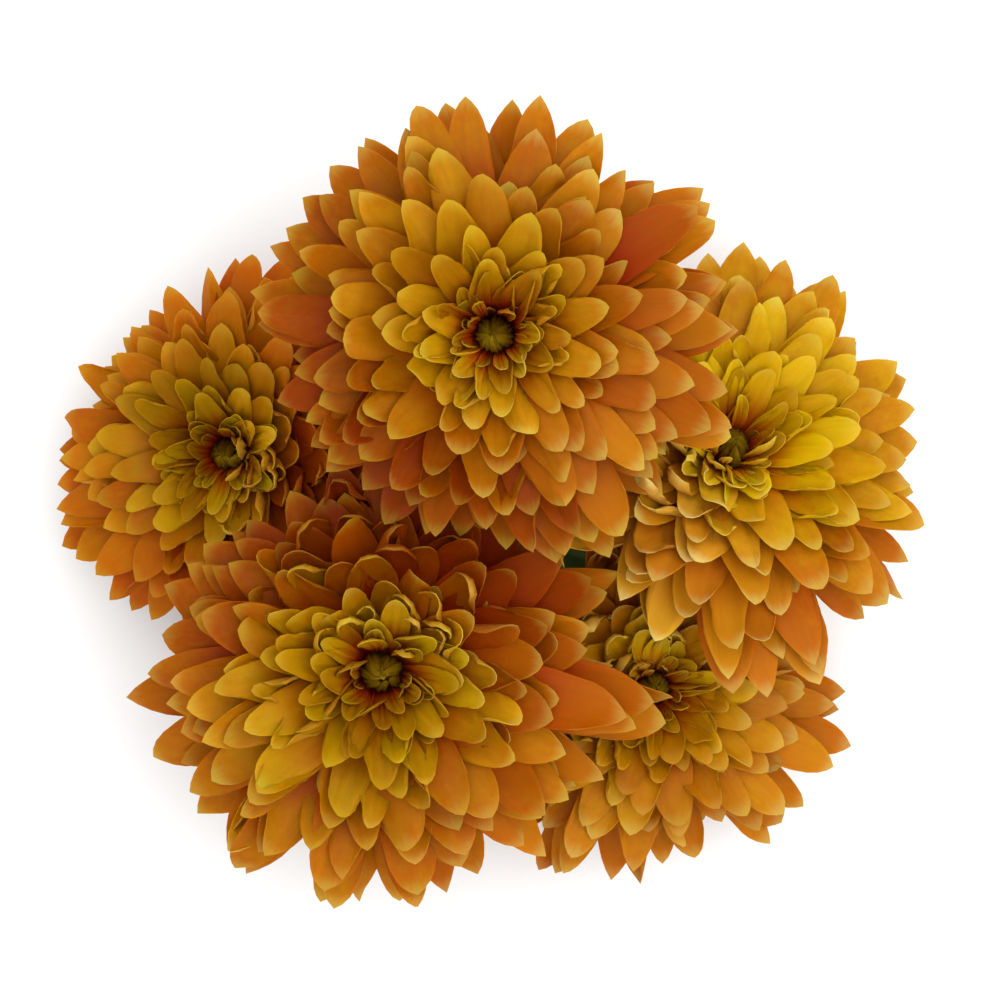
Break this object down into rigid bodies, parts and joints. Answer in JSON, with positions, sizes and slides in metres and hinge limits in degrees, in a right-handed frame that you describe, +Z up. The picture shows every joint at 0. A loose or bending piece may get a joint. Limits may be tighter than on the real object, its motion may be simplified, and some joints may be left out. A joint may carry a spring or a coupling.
{
  "type": "chrysanthemum spray",
  "caption": "Cut spray of double chrysanthemum blooms, orange petals turning yellow towards the heart, face up on a short branched stem with lobed leaves.",
  "frame": {"origin": "middle of the spray's footprint, at the surface that it rests on", "axes": "+Z up, out of the blooms' faces; +Y from the stem towards the highest bloom; +X towards the right bloom"},
  "size_m": [0.1796, 0.1586, 0.096],
  "materials": {
    "outer_petals": "soft orange petal, paler and pinker on its back",
    "inner_petals": "soft golden-yellow petal",
    "heart": "olive-yellow young florets",
    "stem_green": "finely ridged green stem",
    "leaf_green": "matt dark green leaf with paler veins"
  },
  "bodies": {
    "root": {"top_bloom_petals_1": "outer_petals", "top_bloom_petals_2": "outer_petals", "top_bloom_petals_3": "outer_petals", "top_bloom_petals_4": "inner_petals", "top_bloom_petals_5": "inner_petals", "top_bloom_petals_6": "inner_petals", "top_bloom_petals_7": "inner_petals", "top_bloom_heart": "heart", "top_bloom_calyx": "stem_green", "top_bloom_stalk": "stem_green", "right_bloom_petals_1": "outer_petals", "right_bloom_petals_2": "outer_petals", "right_bloom_petals_3": "outer_petals", "right_bloom_petals_4": "inner_petals", "right_bloom_petals_5": "inner_petals", "right_bloom_petals_6": "inner_petals", "right_bloom_petals_7": "inner_petals", "right_bloom_heart": "heart", "right_bloom_calyx": "stem_green", "right_bloom_stalk": "stem_green", "left_bloom_petals_1": "outer_petals", "left_bloom_petals_2": "outer_petals", "left_bloom_petals_3": "outer_petals", "left_bloom_petals_4": "inner_petals", "left_bloom_petals_5": "inner_petals", "left_bloom_petals_6": "inner_petals", "left_bloom_petals_7": "inner_petals", "left_bloom_heart": "heart", "left_bloom_calyx": "stem_green", "left_bloom_stalk": "stem_green", "front_bloom_petals_1": "outer_petals", "front_bloom_petals_2": "outer_petals", "front_bloom_petals_3": "outer_petals", "front_bloom_petals_4": "inner_petals", "front_bloom_petals_5": "inner_petals", "front_bloom_petals_6": "inner_petals", "front_bloom_petals_7": "inner_petals", "front_bloom_heart": "heart", "front_bloom_calyx": "stem_green", "front_bloom_stalk": "stem_green", "low_bloom_petals_1": "outer_petals", "low_bloom_petals_2": "outer_petals", "low_bloom_petals_3": "outer_petals", "low_bloom_petals_4": "inner_petals", "low_bloom_petals_5": "inner_petals", "low_bloom_petals_6": "inner_petals", "low_bloom_petals_7": "inner_petals", "low_bloom_heart": "heart", "low_bloom_calyx": "stem_green", "low_bloom_stalk": "stem_green", "main_stem": "stem_green", "leaf_1": "leaf_green", "leaf_2": "leaf_green", "leaf_3": "leaf_green", "leaf_4": "leaf_green", "leaf_5": "leaf_green"}
  },
  "joints": []
}
